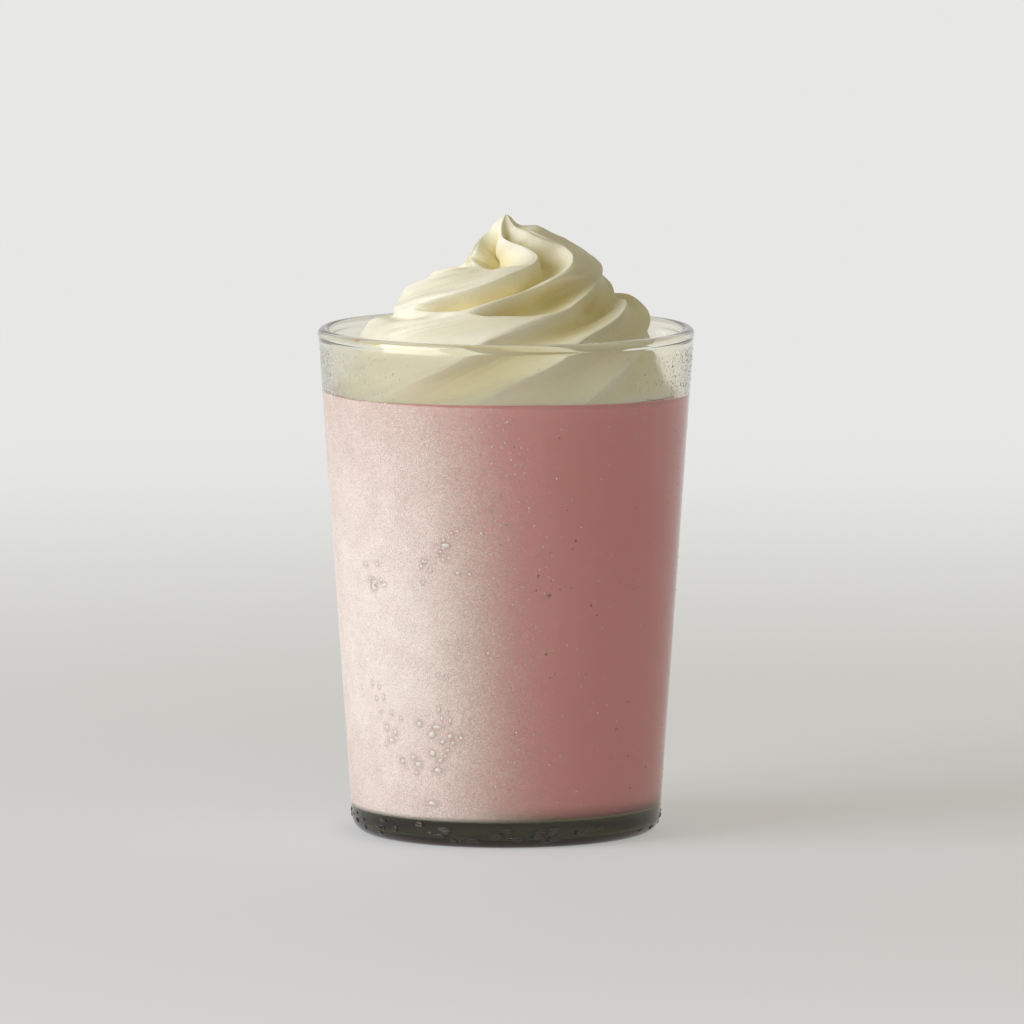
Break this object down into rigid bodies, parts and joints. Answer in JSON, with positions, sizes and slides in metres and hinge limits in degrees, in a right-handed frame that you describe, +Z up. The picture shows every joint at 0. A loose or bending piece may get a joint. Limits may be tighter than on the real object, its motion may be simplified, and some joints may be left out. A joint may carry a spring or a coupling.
{
  "type": "milkshake in a tumbler",
  "caption": "Tall tapered clear tumbler filled with pink strawberry milkshake and topped with a piped, twisted swirl of whipped cream that rises above the rim.",
  "frame": {"origin": "middle of the foot, on the surface that the glass stands on", "axes": "+Z up along the glass's axis, -Y towards the front"},
  "size_m": [0.0894, 0.0894, 0.1469],
  "materials": {
    "glass": "clear, polished, misted with condensation outside",
    "milkshake": "opaque, smooth, wet pink dairy drink",
    "whipped_cream": "soft satin dairy cream, off-white"
  },
  "bodies": {
    "root": {"glass": "glass", "milkshake": "milkshake", "whipped_cream": "whipped_cream"}
  },
  "joints": []
}
